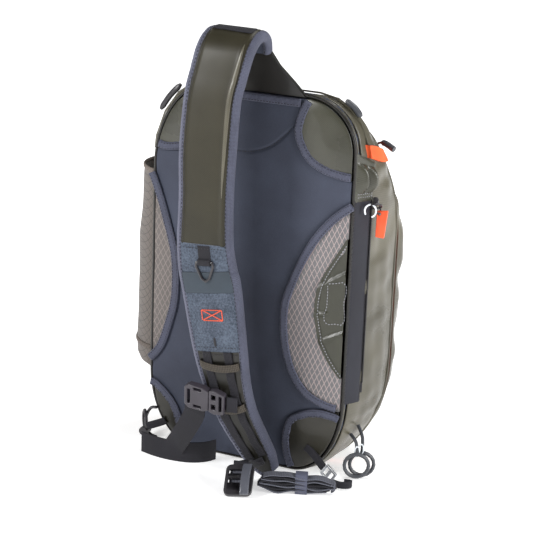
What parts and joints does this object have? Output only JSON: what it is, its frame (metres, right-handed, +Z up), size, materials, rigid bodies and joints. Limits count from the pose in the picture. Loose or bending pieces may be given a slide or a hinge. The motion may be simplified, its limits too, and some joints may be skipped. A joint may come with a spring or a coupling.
{
  "type": "sling bag",
  "caption": "Upright sling bag with a padded shoulder strap looped over its back panel, side pocket, zips, buckles and ring pulls, standing on its base.",
  "frame": {"origin": "centre of the bag's flat base, on the surface it stands on", "axes": "+Z up along the bag's height, +Y from the back panel towards the front pocket, +X to the right as the back panel is looked at"},
  "size_m": [0.3234, 0.2447, 0.5155],
  "materials": {
    "coated_olive": "coated woven cloth with a low gloss",
    "corner_olive": "coated woven cloth",
    "orange_lining": "plain woven lining",
    "orange_pull": "soft moulded tab",
    "slate_pad": "smooth knitted padding cloth",
    "slate_binding": "ribbed binding tape",
    "ripstop": "woven ripstop",
    "pocket_cloth": "knitted pocket cloth",
    "felt_grey": "heathered felt",
    "teal_band": "flat tape",
    "webbing": "woven webbing",
    "olive_webbing": "ribbed webbing",
    "black_plastic": "moulded, satin",
    "grey_rubber": "moulded, satin",
    "metal": "bright wire"
  },
  "bodies": {
    "root": {"main_shell": "coated_olive", "front_gusset": "orange_lining", "front_pocket": "coated_olive", "back_wall": "slate_pad", "right_wing_binding": "slate_binding", "right_wing_patch": "coated_olive", "right_wing": "ripstop", "left_wing_binding": "slate_binding", "left_wing": "ripstop", "top_right_corner_binding": "slate_binding", "top_right_corner": "corner_olive", "top_left_corner_binding": "slate_binding", "top_left_corner": "corner_olive", "bottom_right_corner_binding": "slate_binding", "bottom_right_corner": "corner_olive", "bottom_left_corner_binding": "slate_binding", "bottom_left_corner": "corner_olive", "top_binding": "slate_binding", "back_pad": "slate_pad", "edge_piping": "webbing", "side_pocket": "pocket_cloth", "yoke": "coated_olive", "strap_pad": "slate_pad", "strap_face": "coated_olive", "strap_felt": "felt_grey", "strap_lower_face": "coated_olive", "strap_band": "teal_band", "strap_binding_left": "slate_binding", "strap_binding_right": "slate_binding", "strap_apex_patch": "webbing", "daisy_web_left": "webbing", "daisy_web_right": "webbing", "cross_web_upper": "olive_webbing", "cross_web_lower": "olive_webbing", "side_zip_strip": "slate_pad", "side_zip_coil": "webbing", "side_zip_slider": "black_plastic", "orange_pull": "orange_pull", "slider_hook": "metal", "main_zip": "webbing", "top_pull_right": "grey_rubber", "top_pull_left": "grey_rubber", "front_pull": "grey_rubber", "d_ring_tab": "webbing", "d_ring": "black_plastic", "buckle_female": "black_plastic", "buckle_male": "black_plastic", "waist_web": "webbing", "buckle_tab": "webbing", "strap_end_web": "webbing", "strap_end_buckle": "black_plastic", "web_bundle": "webbing", "bundle_keeper": "slate_binding", "right_corner_tab": "webbing", "corner_slider": "metal", "corner_loop": "webbing", "left_corner_tab": "webbing", "left_cord_lock": "black_plastic", "ring_pull_front": "grey_rubber", "ring_pull_back": "grey_rubber"}
  },
  "joints": []
}
